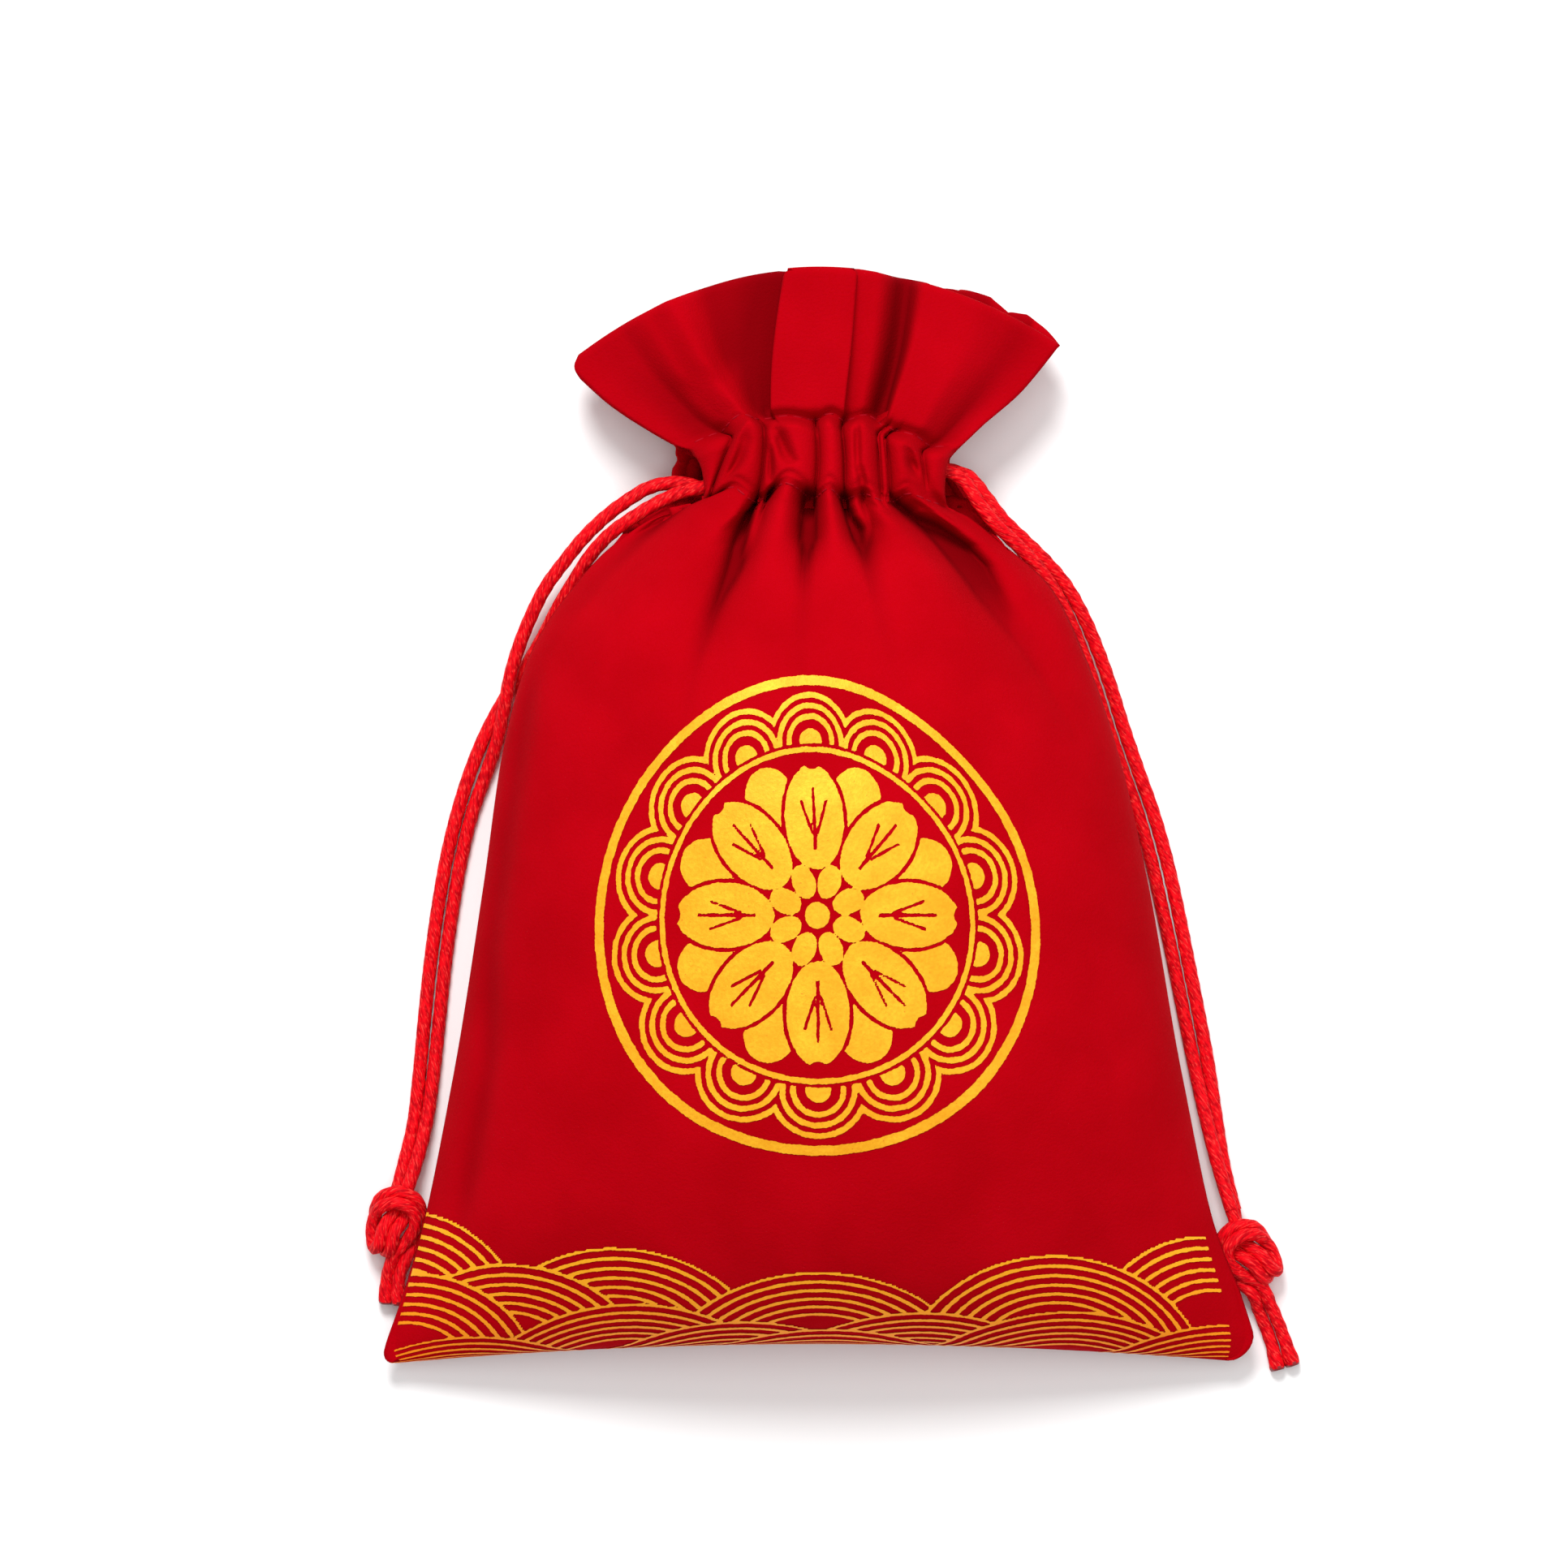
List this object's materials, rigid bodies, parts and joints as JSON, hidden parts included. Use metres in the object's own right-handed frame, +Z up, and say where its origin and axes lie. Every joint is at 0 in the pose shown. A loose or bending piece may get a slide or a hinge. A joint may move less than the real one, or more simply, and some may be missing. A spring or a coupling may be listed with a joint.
{
  "type": "drawstring bag",
  "caption": "Small velvet drawstring pouch lying on its back, full, its neck gathered in a cord casing under a ruffle, with doubled drawcords knotted at their ends.",
  "frame": {"origin": "centre of the bounding box of the bag without its cords, on the surface it lies on", "axes": "+X to the bag's right as seen from its front, +Y from the bottom seam to the mouth, +Z up, out of the front"},
  "size_m": [0.1372, 0.1622, 0.0402],
  "materials": {
    "velvet": "short red pile",
    "velvet_inside": "plain red backing",
    "satin_cord": "red satin braid",
    "gold_print": "gold screen print"
  },
  "bodies": {
    "root": {"front_panel": "velvet", "back_panel": "velvet", "front_hem": "velvet_inside", "back_hem": "velvet_inside", "left_cord_front": "satin_cord", "left_cord_back": "satin_cord", "left_cord_bight": "satin_cord", "left_knot": "satin_cord", "right_cord_front": "satin_cord", "right_cord_back": "satin_cord", "right_cord_bight": "satin_cord", "right_knot": "satin_cord"}
  },
  "joints": []
}
